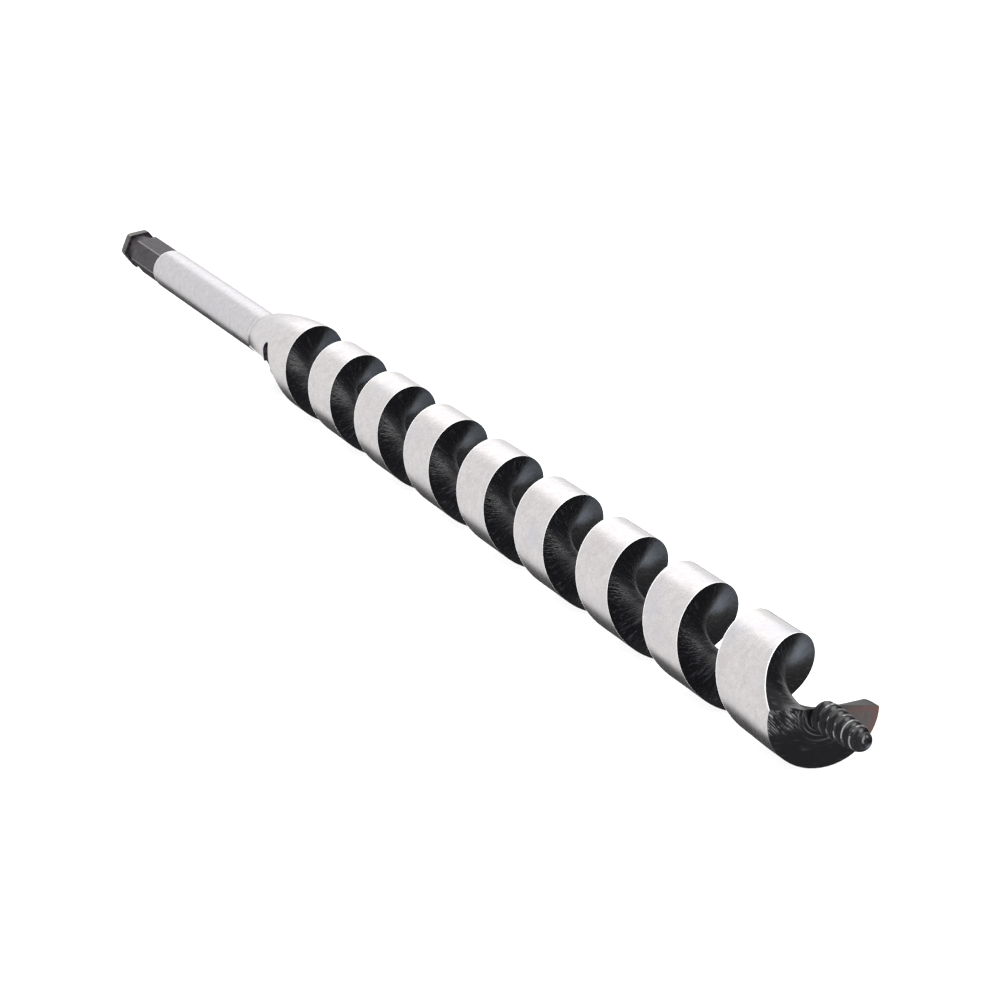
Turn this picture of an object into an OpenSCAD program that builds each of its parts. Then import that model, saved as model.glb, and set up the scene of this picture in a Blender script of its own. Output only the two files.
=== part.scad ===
// Ship auger bit: a hexagonal drive end, a round stem, a single right-hand twist with its domed neck
// and cutting lip, and a tapered feed screw. The bit lies along X with the feed screw at +X.
// The origin is on the axis, in the end face of the hexagon. Sizes are in millimetres and degrees.

/* [Drive hexagon] */
// width across the flats
hex_af = 11; // [9:0.1:12]
// length from the end face to the stem
hex_len = 33; // [26:0.1:42]
// chamfer of the end face
hex_chamfer = 0.4; // [0.2:0.1:1.5]
// length of the collar behind the detent groove
collar_len = 3.7; // [2:0.1:6]
// width of the detent groove
groove_w = 7.2; // [5:0.1:10]
// depth of the detent groove below the flats
groove_depth = 0.7; // [0.3:0.1:1.2]
// angle of the first corner from +Y towards +Z
hex_turn = 7; // [0:1:60]

/* [Stem and neck] */
// diameter of the ground round stem
stem_d = 12.7; // [12:0.1:15]
// length of the round stem, up to the start of the dome
stem_len = 85.2; // [50:0.1:150]
// length of the dome from the stem to the full twist
dome_len = 36.7; // [26:0.1:50]
// length of the neck's flat, from the stem to the start of the flute
flat_len = 25.7; // [20:0.1:36]
// distance of the flat from the axis
neck_flat = 4.5; // [1.5:0.1:6]
// length in which the flat leaves the stem's surface
flat_run = 10; // [5:0.1:16]

/* [Twist] */
// outside diameter of the ground lands
flute_d = 24.5; // [21:0.1:30]
// advance of the twist in one turn
pitch = 33.4; // [26:0.1:42]
// length of the twist from the stem to the front face on the axis
twist_len = 322; // [240:1:400]
// angle that a land takes up in a cross-section
land_arc = 173; // [150:1:190]
// how far the bottom of the flute passes the axis
core_back = 1.1; // [0.3:0.1:1.5]
// how far the front flank bulges into the flute
front_bulge = 0.7; // [-1:0.1:3]
// hollow of the back flank
back_hollow = 1.5; // [0:0.1:3]
// length in which the neck's flat runs down into the flute
step_len = 8; // [4:0.1:12]
// angle of the flute's back edge ahead of the helix at its start
start_lead = 50; // [20:1:70]
// advance in one turn with which the back edge starts
start_pitch = 245; // [120:1:400]
// length for which the back edge keeps that advance
start_len = 9.4; // [6:0.1:16]
// length in which the back edge then catches up with the helix
catch_len = 18.4; // [12:0.1:30]
// width of the slot that runs from the flute's start into the neck
slot_w = 3.3; // [2:0.1:5]
// distance from the stem to the middle of the slot's round end
slot_at = 27.4; // [24:0.1:32]
// angle from the flute's back edge to the middle of the slot's round end
slot_turn = 16; // [8:1:24]
// depth of the slot
slot_depth = 1.2; // [0.6:0.1:2]
// slant of the slot to the axis
slot_slant = 45; // [20:1:70]
// length of the slot, past the flute's back edge
slot_len = 9; // [7:0.1:12]

/* [Cutting head] */
// cutting diameter
head_d = 25.2; // [22:0.1:31]
// length in which the last land widens to the head
head_len = 23.4; // [17:0.1:28]
// angle by which the last land's front edge has spread at the front face
head_spread = 92; // [70:1:110]
// tilt of the front relief face
relief_angle = 9.4; // [5:0.1:14]
// angle from the lip's outer corner to the highest side of the relief face
relief_turn = 24; // [0:1:45]
// direction of the lip's outer corner from +Y towards +Z
lip_turn = 2; // [0:1:359]
// distance behind the front face at which the twist would reach the lip
lip_back = 7; // [5:0.1:11]
// softness of the bend from the twist's back flank into the rake face
rake_bend = 18; // [10:1:35]
// how far the bottom of the flute rises at the lip
throat_rise = 3.9; // [2:0.1:5]
// distance behind the front face at which the bottom starts to rise
throat_back = 4.5; // [3:0.1:8]
// length in which the bottom rises
throat_len = 6.5; // [5:0.1:10]

/* [Feed screw] */
// largest diameter over the thread
screw_d = 7.4; // [7:0.1:11]
// diameter that the taper would reach at the point
screw_tip_d = 5.2; // [3.4:0.1:6]
// length of the threaded cone
screw_len = 15.9; // [10:0.1:22]
// advance of the thread in one turn
screw_pitch = 2.7; // [1.8:0.1:4]
// depth of the thread at the large end
thread_depth = 1; // [0.5:0.1:1.3]
// diameter of the boss face that the screw sits on
boss_d = 7.6; // [6.4:0.1:9]
// how far the boss stands in front of the front face on the axis
boss_out = 0.9; // [0.5:0.1:2]
// length of the boss behind its face
boss_len = 4.4; // [3:0.1:6]
// diameter of the stub inside the screw
stub_d = 3; // [2:0.1:3.6]
// length of the stub inside the screw
stub_len = 5.6; // [3:0.1:7]

/* [Joints] */
// diameter of the tenon of the drive hexagon
hex_tenon_d = 7; // [5:0.1:8]
// length of the tenon of the drive hexagon
hex_tenon_len = 14; // [8:0.5:20]
// diameter of the tenon of the twist
twist_tenon_d = 7; // [5:0.1:8]
// length of the tenon of the twist
twist_tenon_len = 16; // [8:0.5:25]
// clearance round each tenon and past its end, for the brazing metal
joint_gap = 0.05; // [0.02:0.01:0.15]

/* [Hidden] */
$fn = 64;
stem_r = stem_d / 2;
flute_r = flute_d / 2;
head_r = head_d / 2;
corner_r = hex_af / 2 / cos(30);
neck_x = hex_len + stem_len;
dome_end_x = neck_x + dome_len;
flute_x = neck_x + flat_len;
face_x = neck_x + twist_len;
boss_x = face_x + boss_out;
// overlap of solids that are one piece
bite = 0.5;
slices_per_turn = 18;
neck_slices = 10;
flank_steps = 8;
land_steps = 2 * flank_steps;
thread_facets = 16;
// share of the head at which its full diameter is reached, and at which its flanks have become flat
full_share = 0.75;
flat_share = 0.85;
// half of the angle that the flat takes up where it starts
least_half = 4;
// share of the screw's length at which its point starts to round, and of its radius that is left at the end
point_share = 0.8;
blunt_share = 0.25;

module along_x(x) {
    translate([x, 0, 0]) rotate([0, 90, 0]) children();
}

// Hole for a tenon, larger all round and past its end by the joint's clearance
module socket(d, length) {
    cylinder(h = length + joint_gap, d = d + 2 * joint_gap);
}

// Direction in a cross-section, from +Y towards +Z
function around(angle) = [cos(angle), sin(angle)];
function smooth(t) = let (c = min(max(t, 0), 1)) c * c * (3 - 2 * c);
function mix(a, b, t) = a + (b - a) * t;
function bezier(a, b, c, d, t) =
    let (s = 1 - t) s * s * s * a + 3 * s * s * t * b + 3 * s * t * t * c + t * t * t * d;

// Radius of the ground surface: the dome, the lands and the wider head
function dome_r(x) =
    let (t = min(max((dome_end_x - x) / dome_len, 0), 1)) flute_r - (flute_r - stem_r) * t * t;
function head_share(x) = (x - face_x + head_len) / head_len;
function outer_r(x) = dome_r(x) + (head_r - flute_r) * smooth(head_share(x) / full_share);

// Angle of the back edge past the lip: on the plain helix, near the neck where it starts slowly and then
// catches up, and with its bend into the rake face
function helix_turn(x) = 360 * (x - face_x + lip_back) / pitch;
function slow_turn(x) = helix_turn(flute_x) + start_lead + 360 * (x - flute_x) / start_pitch;
function neck_turn(x) =
    mix(slow_turn(x), helix_turn(x), smooth((x - flute_x - start_len) / catch_len));
function back_turn(x) =
    let (b = helix_turn(x)) b < -8 * rake_bend ? neck_turn(x) : -rake_bend * ln(1 + exp(-b / rake_bend));
function front_turn(x) =
    let (t = max(head_share(x), 0)) helix_turn(x) - land_arc - head_spread * t * t;
// The neck's flat: its direction, which is the middle of the flute's start, and half of the angle it takes up
flat_turn = (slow_turn(flute_x) + front_turn(flute_x) + 360) / 2;
function flat_half(x) =
    let (h = mix(stem_r, neck_flat, smooth((x - neck_x) / flat_run)))
    max(acos(min(h / dome_r(x), 1)), least_half);
// Height of the flute's bottom above the axis
function bottom(x) = throat_rise * smooth((x - face_x + throat_back) / throat_len) - core_back;

// One cross-section of the twist: the land's arc, then the flute from its back edge over the bottom to its
// front edge. On the neck the flute is a flat, which steps down into the flute behind flute_x
function twist_ring(x) =
    let (
        r = outer_r(x),
        half = flat_half(x),
        share = min(max((x - flute_x) / step_len, 0), 1),
        back = mix(flat_turn - half, back_turn(x), share) + lip_turn,
        front = mix(flat_turn + half - 360, front_turn(x), share) + lip_turn,
        inward = around((back + front + 360) / 2),
        b = r * around(back),
        f = r * around(front),
        q = mix(r * cos(half), bottom(x), share) * inward,
        curved = share * (1 - smooth(head_share(x) / flat_share)),
        hollow = -curved * back_hollow * inward,
        bulge = curved * front_bulge * inward
    )
    concat(
        [for (i = [0:land_steps]) r * around(mix(front, back, i / land_steps))],
        [for (i = [1:flank_steps])
            bezier(b, mix(b, q, 1 / 3) + hollow, mix(b, q, 2 / 3) + hollow, q, i / flank_steps)],
        [for (i = [1:flank_steps - 1])
            bezier(q, mix(q, f, 1 / 3) + bulge, mix(q, f, 2 / 3) + bulge, f, i / flank_steps)]
    );

// Solid through a row of rings with as many points each. Each end is a band of triangles across its ring
module skin(rings) {
    n = len(rings[0]);
    last = (len(rings) - 1) * n;
    sides = [for (k = [0:len(rings) - 2], i = [0:n - 1])
        let (j = (i + 1) % n, a = k * n, b = a + n)
        each [[a + i, b + i, b + j], [a + i, b + j, a + j]]];
    ends = [for (i = [0:n / 2 - 1])
        let (c = (n - i) % n, d = n - 1 - i)
        each concat(
            i == 0 ? [] : [[i, d, c], [last + i, last + c, last + d]],
            i == n / 2 - 1 ? [] : [[i, i + 1, d], [last + i, last + d, last + i + 1]]
        )];
    polyhedron([for (ring = rings) each ring], concat(sides, ends), convexity = 10);
}

module twist_solid(end_x) {
    count = ceil((end_x - flute_x) / pitch * slices_per_turn);
    places = concat(
        [for (k = [0:neck_slices - 1]) mix(neck_x, flute_x, k / neck_slices)],
        [for (k = [0:count]) mix(flute_x, end_x, k / count)]
    );
    skin([for (x = places) [for (p = twist_ring(x)) [x, p[0], p[1]]]]);
}

module hex_shank() {
    color("DimGray") {
        difference() {
            intersection() {
                along_x(0) rotate(hex_turn + 90) cylinder(h = hex_len, d = hex_af / cos(30), $fn = 6);
                along_x(0) rotate_extrude() polygon([
                    [0, 0], [corner_r - hex_chamfer, 0], [corner_r + bite, hex_chamfer + bite],
                    [corner_r + bite, hex_len + bite], [0, hex_len + bite]
                ]);
            }
            along_x(collar_len) rotate_extrude()
                translate([hex_af / 2 - groove_depth, 0]) square([hex_af, groove_w]);
        }
        along_x(hex_len - bite) cylinder(h = hex_tenon_len + bite, d = hex_tenon_d);
    }
}

module stem() {
    color("Gainsboro") difference() {
        along_x(hex_len) cylinder(h = stem_len, d = stem_d);
        along_x(hex_len - bite) socket(hex_tenon_d, hex_tenon_len + bite);
        along_x(neck_x - twist_tenon_len - joint_gap) socket(twist_tenon_d, twist_tenon_len + bite);
    }
}

// Cutter of the slot, which stands on the slot's floor
module slot() {
    x = neck_x + slot_at;
    rotate([slow_turn(flute_x) + lip_turn - slot_turn, 0, 0])
        translate([x, dome_r(x) - slot_depth, 0]) rotate([-90, 0, 0]) {
            cylinder(h = 2 * slot_depth, d = slot_w);
            rotate(-slot_slant) translate([0, -slot_w / 2, 0]) cube([slot_len, slot_w, 2 * slot_depth]);
        }
}

module twist() {
    reach = head_r * tan(relief_angle);
    color("Silver") {
        difference() {
            twist_solid(face_x + reach + bite);
            translate([face_x, 0, 0]) rotate([lip_turn + relief_turn, 0, 0]) rotate([0, 0, -relief_angle])
                translate([0, -2 * head_d, -2 * head_d]) cube(4 * head_d);
            slot();
        }
        along_x(neck_x - twist_tenon_len) cylinder(h = twist_tenon_len + bite, d = twist_tenon_d);
        along_x(boss_x - boss_len) cylinder(h = boss_len, d1 = 0, d2 = boss_d);
        along_x(boss_x - bite) cylinder(h = stub_len + bite, d = stub_d);
    }
}

// Radius over the thread's crest: a taper with a rounded, blunt point
function crest_r(u) =
    let (t = max((u - point_share) / (1 - point_share), 0))
    mix(screw_d, screw_tip_d, u) / 2 * mix(blunt_share, 1, sqrt(1 - t * t));

module feed_screw() {
    turns = screw_len / screw_pitch;
    count = ceil(turns * thread_facets);
    rings = [for (k = [0:count])
        let (u = k / count, crest = crest_r(u), depth = thread_depth * crest * 2 / screw_d)
        [for (i = [0:thread_facets - 1])
            let (t = i / thread_facets, r = crest - depth * 2 * min(t, 1 - t))
            let (p = r * around(360 * (t + turns * u)))
            [boss_x + screw_len * u, p[0], p[1]]]];
    color("DimGray") difference() {
        skin(rings);
        along_x(boss_x - bite) socket(stub_d, stub_len + bite);
    }
}

hex_shank();
stem();
twist();
feed_screw();
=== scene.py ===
"""Ship auger bit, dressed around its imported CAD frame.

The bit lies along X with the feed screw at +X, Z is up and lengths are in metres.
"""

import math

import bmesh
import bpy
from bpy.props import FloatProperty, FloatVectorProperty, IntProperty, PointerProperty
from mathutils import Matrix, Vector


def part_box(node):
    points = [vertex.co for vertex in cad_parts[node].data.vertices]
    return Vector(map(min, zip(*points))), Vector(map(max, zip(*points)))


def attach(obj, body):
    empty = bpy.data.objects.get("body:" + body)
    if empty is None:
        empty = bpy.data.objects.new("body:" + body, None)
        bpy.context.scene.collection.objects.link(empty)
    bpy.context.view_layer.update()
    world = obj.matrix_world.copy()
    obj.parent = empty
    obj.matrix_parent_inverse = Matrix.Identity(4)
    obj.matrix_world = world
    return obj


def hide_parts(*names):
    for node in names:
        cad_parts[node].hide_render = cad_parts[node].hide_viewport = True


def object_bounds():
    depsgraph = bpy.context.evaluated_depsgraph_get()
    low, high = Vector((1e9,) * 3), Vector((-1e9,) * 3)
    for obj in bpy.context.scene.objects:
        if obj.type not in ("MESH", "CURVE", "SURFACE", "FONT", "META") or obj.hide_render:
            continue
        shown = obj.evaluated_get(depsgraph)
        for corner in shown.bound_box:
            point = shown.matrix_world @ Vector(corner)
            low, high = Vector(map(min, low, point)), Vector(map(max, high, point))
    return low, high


bl_info = {
    "name": "Ship Auger Bit",
    "version": (1, 0, 0),
    "blender": (4, 5, 0),
    "location": "3D View > Sidebar > Auger Bit",
    "description": "Builds a ship auger bit and its studio around the CAD frame",
    "category": "Add Mesh",
}

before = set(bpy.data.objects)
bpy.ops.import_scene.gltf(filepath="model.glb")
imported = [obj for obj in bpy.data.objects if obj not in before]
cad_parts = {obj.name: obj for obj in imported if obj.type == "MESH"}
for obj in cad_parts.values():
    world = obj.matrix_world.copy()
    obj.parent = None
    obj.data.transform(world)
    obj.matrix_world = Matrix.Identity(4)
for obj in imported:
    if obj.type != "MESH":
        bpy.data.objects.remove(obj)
CAD_BOX = [list(corner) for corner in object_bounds()]

MM = 0.001
TURN = 2 * math.pi
STEM_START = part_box("stem")[0].x
STEM_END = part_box("stem")[1].x
SCREW_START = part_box("feed_screw")[0].x
SCREW_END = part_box("feed_screw")[1].x
FLOOR_HEIGHT = CAD_BOX[0][2]

# Points round a ring, and rings along a piece
HEX_STEPS = 360
STEM_STEPS = 128
STEM_RINGS = 8
SCREW_STEPS = 72
SCREW_RINGS = 150
BOSS_RINGS = 8
SLOT_STEPS = 48
LAND_STEPS = 30
FLANK_STEPS = 26
RING_STEPS = LAND_STEPS + 2 * FLANK_STEPS

# Extra rings beside the walls of the detent groove, inside it, and before the hexagon's front end
GROOVE_BESIDE = (0.001 * MM, 0.08 * MM, 0.25 * MM)
GROOVE_INSIDE = 0.3 * MM
HEX_BEFORE_END = 0.2 * MM

# Reach of the "edge" attribute from a ground edge
EDGE_REACH = 1.5 * MM
# Least half angle of the neck's flat, where it starts
LEAST_HALF = math.radians(4)
# Length in which the dome leaves the stem
NECK_FILLET = 7 * MM
# Shares of the head's length where the land is at its widest and where the flanks are straight
HEAD_WIDE = 0.75
HEAD_STRAIGHT = 0.85
# Length of twist past the relief plane, which the cut takes off
CUT_SPARE = 0.5 * MM
# Exponent of the thread's hollow
THREAD_HOLLOW = 2.5
# Share of the screw's length where its point starts to round, and of the radius left at its end
TIP_START = 0.8
TIP_SHARE = 0.25
# Least radius of the boss, at its hidden end
BOSS_LEAST = 0.2 * MM

# Where the finish changes, in millimetres: along the axis
COLLAR_END = (3.2, 3.6)
HEX_END = (40.0, 50.0)
STEM_SHADE_END = (100.0, 150.0)
RAKE_ALONG = (432.0, 438.0)
# Across the bit, towards +Y, -Y and +Z
RAKE_ASIDE = (3.0, 6.0)
KINK_ASIDE = (3.5, 8.0)
KINK_UP = (-4.0, -1.5)
# From the axis
BOSS_MARKS_END = (5.5, 8.5)
HEX_CORNER = (6.20, 6.32)
LIP_RIM = (10.6, 12.3)
# From a ground edge: the painted highlight line, and the inside of the flute
EDGE_HIGHLIGHT = (0.32, 0.6)
FLUTE_INSIDE = (0.4, 1.4)
# And from the lip's direction, as angles
LIP_SPREAD = (math.radians(34), math.radians(46))
LIP_HEAT = (0.0, math.radians(9))

# Directions across the slanted and the level grinding marks of the relief face, in Y and Z
SLANTED_ACROSS = (0.742, 0.67)
LEVEL_ACROSS = (0.148, 0.989)
# Range of a noise that counts as its whole spread
NOISE_RANGE = (0.3, 0.7)

# Range of distances that the camera sees
CLIP_NEAR = 0.01
CLIP_FAR = 50.0


# Node trees


class Port:
    """A node's output. Arithmetic on it adds Math nodes, or Vector Math nodes for vectors."""

    def __init__(self, graph, socket):
        self.graph = graph
        self.socket = socket

    def is_vector(self):
        return self.socket.type in {"VECTOR", "RGBA"}

    def __add__(self, other):
        return self.graph.combine("ADD", self, other)

    def __radd__(self, other):
        return self.graph.combine("ADD", other, self)

    def __sub__(self, other):
        return self.graph.combine("SUBTRACT", self, other)

    def __rsub__(self, other):
        return self.graph.combine("SUBTRACT", other, self)

    def __mul__(self, other):
        return self.graph.combine("MULTIPLY", self, other)

    def __rmul__(self, other):
        return self.graph.combine("MULTIPLY", other, self)

    def __truediv__(self, other):
        return self.graph.combine("DIVIDE", self, other)

    def __rtruediv__(self, other):
        return self.graph.combine("DIVIDE", other, self)

    def __neg__(self):
        return self * -1.0


class Graph:
    """Adds nodes to one node tree."""

    def __init__(self, tree):
        self.tree = tree

    def add(self, kind, settings=None, sockets=None, output=0):
        """Adds a node, sets its settings and then its sockets, and gives one of its outputs."""
        node = self.tree.nodes.new(kind)
        for key, value in (settings or {}).items():
            setattr(node, key, value)
        for key, value in (sockets or {}).items():
            socket = self.find(node.inputs, key)
            if isinstance(value, Port):
                self.tree.links.new(value.socket, socket)
            else:
                socket.default_value = value
        return Port(self, self.find(node.outputs, output)) if len(node.outputs) else node

    @staticmethod
    def find(sockets, key):
        """The socket with this number, identifier or name."""
        if isinstance(key, int):
            return sockets[key]
        return next(s for s in sockets if key in (s.identifier, s.name))

    def math(self, operation, *values):
        return self.add("ShaderNodeMath", {"operation": operation}, dict(enumerate(values)))

    def vector_math(self, operation, *values, output=0):
        settings = {"operation": operation}
        return self.add("ShaderNodeVectorMath", settings, dict(enumerate(values)), output)

    def combine(self, operation, a, b):
        """Arithmetic on two numbers, two vectors or one of each."""
        vectors = [isinstance(v, Port) and v.is_vector() for v in (a, b)]
        if not any(vectors):
            return self.math(operation, a, b)
        if operation == "MULTIPLY" and not all(vectors):
            vector, number = (a, b) if vectors[0] else (b, a)
            sockets = {"Vector": vector, "Scale": number}
            return self.add("ShaderNodeVectorMath", {"operation": "SCALE"}, sockets)
        return self.vector_math(operation, a, b)

    def clamp(self, value, low=0.0, high=1.0):
        return self.math("MINIMUM", self.math("MAXIMUM", value, low), high)

    def smooth(self, value, low=0.0, high=1.0):
        """0 below low, 1 above high and a smooth step between."""
        sockets = {"Value": value, "From Min": low, "From Max": high}
        return self.add("ShaderNodeMapRange", {"interpolation_type": "SMOOTHSTEP"}, sockets)

    def spread(self, value, source, low, high):
        """Maps the source range onto low to high in a straight line, and clamps."""
        sockets = {"Value": value, "From Min": source[0], "From Max": source[1]}
        return self.add("ShaderNodeMapRange", {}, {**sockets, "To Min": low, "To Max": high})

    def vector(self, x, y, z):
        return self.add("ShaderNodeCombineXYZ", {}, {"X": x, "Y": y, "Z": z})

    def parts(self, vector):
        """The three numbers of a vector."""
        first = self.add("ShaderNodeSeparateXYZ", {}, {"Vector": vector})
        return [Port(self, socket) for socket in first.socket.node.outputs]

    def around(self, angle):
        """Direction across the bit, from +Y towards +Z."""
        return self.vector(0.0, self.math("COSINE", angle), self.math("SINE", angle))

    def tint(self, share, a, b, blend="MIX"):
        """Mixes two colours."""
        sockets = {"Factor_Float": share}
        for key, shade in (("A_Color", a), ("B_Color", b)):
            sockets[key] = shade if isinstance(shade, Port) else (*shade, 1.0)
        settings = {"data_type": "RGBA", "blend_type": blend}
        return self.add("ShaderNodeMix", settings, sockets, "Result_Color")

    def noise(self, vector, scale=1.0, detail=2.0, roughness=0.5):
        sockets = {"Vector": vector, "Scale": scale, "Detail": detail, "Roughness": roughness}
        return self.add("ShaderNodeTexNoise", {}, sockets)


# Sizes and colours


def length(name, default, text):
    return FloatProperty(name=name, description=text, default=default, unit="LENGTH", precision=5)


def angle(name, degrees, text):
    default = math.radians(degrees)
    return FloatProperty(name=name, description=text, default=default, unit="ROTATION")


def colour(name, default, text):
    return FloatVectorProperty(
        name=name, description=text, default=default, subtype="COLOR", min=0.0, max=1.0
    )


def location(name, default, text):
    return FloatVectorProperty(
        name=name, description=text, default=default, subtype="TRANSLATION", unit="LENGTH"
    )


def brightness(name, default, text):
    return FloatProperty(name=name, description=text, default=default, min=0.0)


class AugerShank(bpy.types.PropertyGroup):
    """Sizes of the drive hexagon and the stem."""

    hex_width: length("Hexagon width", 11 * MM, "Width across the flats")
    hex_turn: angle("Hexagon turn", 7, "Angle of the first corner from +Y")
    hex_chamfer: length("End chamfer", 0.4 * MM, "Chamfer of the hexagon's end face")
    edge_round: length("Edge rounding", 0.10 * MM, "Rounding of the hexagon's worn edges")
    collar: length("Collar", 3.7 * MM, "Length behind the detent groove")
    groove_width: length("Groove width", 7.2 * MM, "Width of the detent groove")
    groove_diameter: length("Groove diameter", 9.6 * MM, "Diameter at the groove's bottom")
    stem_diameter: length("Stem diameter", 12.7 * MM, "Diameter of the ground round stem")
    stem_length: length("Stem length", 85.2 * MM, "Length of the round stem, up to the dome")
    stem_chamfer: length("Stem chamfer", 0.25 * MM, "Chamfer of the stem beside the hexagon")
    dome_length: length("Dome length", 36.7 * MM, "Length from the stem to the full twist")
    flat_length: length("Flat length", 25.7 * MM, "Length of the neck's flat, up to the flute")
    neck_flat: length("Flat height", 4.5 * MM, "Distance of the neck's flat from the axis")
    flat_run: length("Flat run", 10 * MM, "Length in which the flat leaves the stem's surface")


class AugerTwist(bpy.types.PropertyGroup):
    """Sizes of the twist and its cutting head."""

    flute_diameter: length("Land diameter", 24.5 * MM, "Diameter over the ground lands")
    pitch: length("Pitch", 33.4 * MM, "Advance of the twist in one turn")
    land_arc: angle("Land arc", 173, "Angle that a land takes up in a cross-section")
    core_back: length("Core offset", 1.1 * MM, "How far the bottom of the flute passes the axis")
    front_bulge: length("Front bulge", 0.7 * MM, "How far the front flank bulges into the flute")
    back_hollow: length("Back hollow", 1.5 * MM, "Hollow of the back flank")
    step_length: length("Step", 8 * MM, "Length in which the neck's flat runs down into the flute")
    start_lead: angle("Start lead", 50, "Angle of the back edge ahead of the helix at its start")
    start_pitch: length("Start pitch", 245 * MM, "Advance of the back edge at its start")
    start_length: length("Start length", 9.4 * MM, "Length that keeps this advance")
    catch_length: length("Catch-up", 18.4 * MM, "Length to catch up with the helix")
    slot_width: length("Slot width", 3.3 * MM, "Width of the slot in the neck")
    slot_at: length("Slot place", 27.4 * MM, "Distance from the stem to the slot's round end")
    slot_turn: angle("Slot turn", 16, "Angle from the back edge to the slot's round end")
    slot_depth: length("Slot depth", 1.2 * MM, "Depth of the slot")
    slot_slant: angle("Slot slant", 45, "Slant of the slot to the axis")
    slot_length: length("Slot length", 9 * MM, "Length of the slot, past the flute's back edge")
    head_diameter: length("Cutting diameter", 25.2 * MM, "Diameter of the cutting head")
    head_length: length("Head length", 23.4 * MM, "Length in which the last land widens")
    head_spread: angle("Head spread", 92, "Spread of the last land at the front face")
    relief: angle("Relief", 9.4, "Tilt of the front relief face")
    relief_turn: angle("Relief turn", 24, "Angle from the lip to the relief's high side")
    lip_turn: angle("Lip turn", 2, "Direction of the lip's outer corner from +Y")
    lip_back: length("Lip lead", 7 * MM, "Distance behind the face where the twist meets the lip")
    rake_bend: angle("Rake bend", 18, "Softness of the bend into the rake face")
    throat_rise: length("Throat rise", 3.9 * MM, "How far the flute's bottom rises at the lip")
    throat_back: length("Throat start", 4.5 * MM, "Distance behind the face where the rise starts")
    throat_length: length("Throat length", 6.5 * MM, "Length in which the bottom rises")
    slices: IntProperty(
        name="Slices a turn", description="Cross-sections in one turn", default=64, min=12
    )


class AugerScrew(bpy.types.PropertyGroup):
    """Sizes of the feed screw and its boss."""

    diameter: length("Screw diameter", 7.4 * MM, "Largest diameter over the thread")
    tip_diameter: length("Tip diameter", 5.2 * MM, "Diameter of the taper at the point")
    pitch: length("Thread pitch", 2.7 * MM, "Advance of the thread in one turn")
    depth: length("Thread depth", 1.0 * MM, "Depth of the thread at the large end")
    boss_diameter: length("Boss diameter", 7.6 * MM, "Diameter of the boss face")
    boss_out: length("Boss height", 0.9 * MM, "How far the boss stands in front of the face")
    boss_length: length("Boss length", 4.4 * MM, "Length of the boss behind its face")


class AugerFinish(bpy.types.PropertyGroup):
    """Colours of the steel."""

    bright: colour("Ground steel", (0.94, 0.90, 0.905), "Ground lands and stem")
    stem_shade: colour("Stem shade", (0.90, 0.91, 0.94), "Multiplies the ground steel of the stem")
    stain: colour("Stains", (0.76, 0.69, 0.66), "Warm stains on the ground steel")
    cloud: colour("Clouds", (0.74, 0.75, 0.82), "Cool clouds on the ground steel")
    # Painted highlight: a white line along the ground edges, in place of their glint
    edge_line: colour("Edge line", (0.98, 0.98, 0.98), "Bright line along the ground edges")
    black: colour("Blackened flutes", (0.007, 0.007, 0.0085), "Polished black skin of the flutes")
    mark: colour("Grinding marks", (0.32, 0.32, 0.34), "Grinding marks on the relief face")
    turning: colour("Turning marks", (0.03, 0.03, 0.034), "Turning marks on the feed screw")
    worn: colour("Worn crests", (0.6, 0.6, 0.62), "Worn crests of the thread")
    charcoal: colour("Blackened hexagon", (0.032, 0.027, 0.033), "Satin skin of the hexagon")
    collar: colour("Collar", (0.15, 0.15, 0.13), "Rubbed collar of the hexagon")
    rubbed: colour("Rubbed edges", (0.36, 0.35, 0.35), "Rubbed edges of the hexagon")
    heat: colour("Heat tint", (0.17, 0.085, 0.072), "Tint along the ground lip")
    lip: colour("Ground lip", (0.13, 0.113, 0.11), "Ground steel of the cutting lip")


class AugerStage(bpy.types.PropertyGroup):
    """Floor, light and camera of the studio."""

    floor_reach: length("Floor reach", 6.0, "Distance from the origin to the floor's sides")
    floor_dark: colour("Floor shade", (0.90, 0.90, 0.90), "Darker clouds of the floor")
    floor_light: colour("Floor", (0.93, 0.93, 0.93), "Lighter clouds of the floor")
    lamp_place: location("Lamp place", (0.2, 0.0, 2.4), "Middle of the lamp above the floor")
    lamp_width: length("Lamp width", 3.2, "Width of the lamp")
    lamp_power: FloatProperty(
        name="Lamp power", description="Power of the lamp", default=90.0, unit="POWER"
    )
    front: brightness("Front", 0.28, "Brightness of the surroundings in front")
    back: brightness("Back", 0.80, "Brightness of the surroundings behind")
    window: brightness("Window", 0.43, "Extra brightness of the window behind")
    ceiling: brightness("Ceiling", 1.3, "Brightness of the ceiling")
    side_box: brightness("Side box", 3.0, "Brightness of the soft box on the far side")
    table_dark: brightness("Table", 0.92, "How much the table behind darkens the surroundings")
    wall_dark: brightness("Wall", 0.85, "How much the wall on the far side darkens them")
    below_dark: brightness("Below", 0.3, "How much they darken straight below")
    bounce: colour("Bounce", (0.70, 0.82, 1.0), "Light that comes back low on the far side")
    camera_place: location("Camera place", (0.9304, -0.3095, 0.2478), "Place of the camera")
    camera_tilt: angle("Camera tilt", 70.847, "Angle of the view from straight down")
    camera_turn: angle("Camera turn", 64.477, "Turn of the camera about Z")
    focal_length: FloatProperty(
        name="Focal length", description="Focal length in mm", default=106.98, unit="CAMERA"
    )
    sensor_width: FloatProperty(
        name="Sensor width", description="Sensor width in mm", default=36.0, unit="CAMERA"
    )


# Materials


def new_material(name):
    material = bpy.data.materials.new(name)
    material.use_nodes = True
    material.node_tree.nodes.clear()
    return material, Graph(material.node_tree)


def shared(make, *given):
    """The material that a function is named after, made on its first use."""
    return bpy.data.materials.get(make.__name__) or make(*given)


def surface(graph, sockets):
    shader = graph.add("ShaderNodeBsdfPrincipled", {}, sockets)
    graph.add("ShaderNodeOutputMaterial", {}, {"Surface": shader})


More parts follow.
